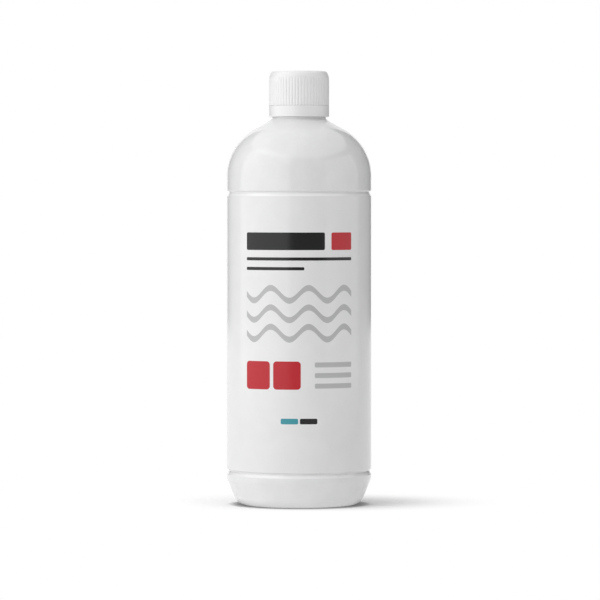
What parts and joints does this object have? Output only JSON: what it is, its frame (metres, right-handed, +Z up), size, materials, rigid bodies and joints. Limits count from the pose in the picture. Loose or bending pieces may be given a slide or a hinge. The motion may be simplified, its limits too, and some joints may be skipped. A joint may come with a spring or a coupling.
{
  "type": "solution bottle",
  "caption": "Round white one-litre solution bottle with a domed shoulder, grooved label panel, ribbed screw cap, tamper band, vented liner and wrap label.",
  "frame": {"origin": "centre of the stand ring's plane, on the bottle's axis, where the bottle meets the surface it stands on", "axes": "+Z up along the bottle's axis towards the cap, front of the label facing -Y, +X to the right of the front"},
  "size_m": [0.0832, 0.0832, 0.2492],
  "materials": {
    "bottle_plastic": "semi-gloss white polyethylene",
    "cap_plastic": "semi-gloss white polypropylene",
    "label_film": "satin printed film",
    "wad_foam": "fine closed-cell foam",
    "membrane_film": "matte porous film"
  },
  "bodies": {
    "bottle": {"bottle": "bottle_plastic", "label": "label_film"},
    "tamper_band": {"tamper_band": "cap_plastic"},
    "liner": {"vent_membrane": "membrane_film", "liner_wad": "wad_foam"},
    "cap": {"cap": "cap_plastic"}
  },
  "joints": [
    {"name": "band_spin", "type": "hinge", "parent": "bottle", "child": "tamper_band", "pos_m": [0, 0, 0.2264], "axis": [0, 0, 1], "continuous": true},
    {"name": "cap_rise", "type": "slide", "parent": "bottle", "child": "liner", "axis": [0, 0, 1], "range_m": [0, 0.0168]},
    {"name": "cap_turn", "type": "hinge", "parent": "liner", "child": "cap", "pos_m": [0, 0, 0.2394], "axis": [0, 0, 1], "range_deg": [0, 1440]}
  ],
  "couplings": [
    {"joint": "cap_rise", "follows": "cap_turn", "m_per_rad": 0.00066845}
  ]
}
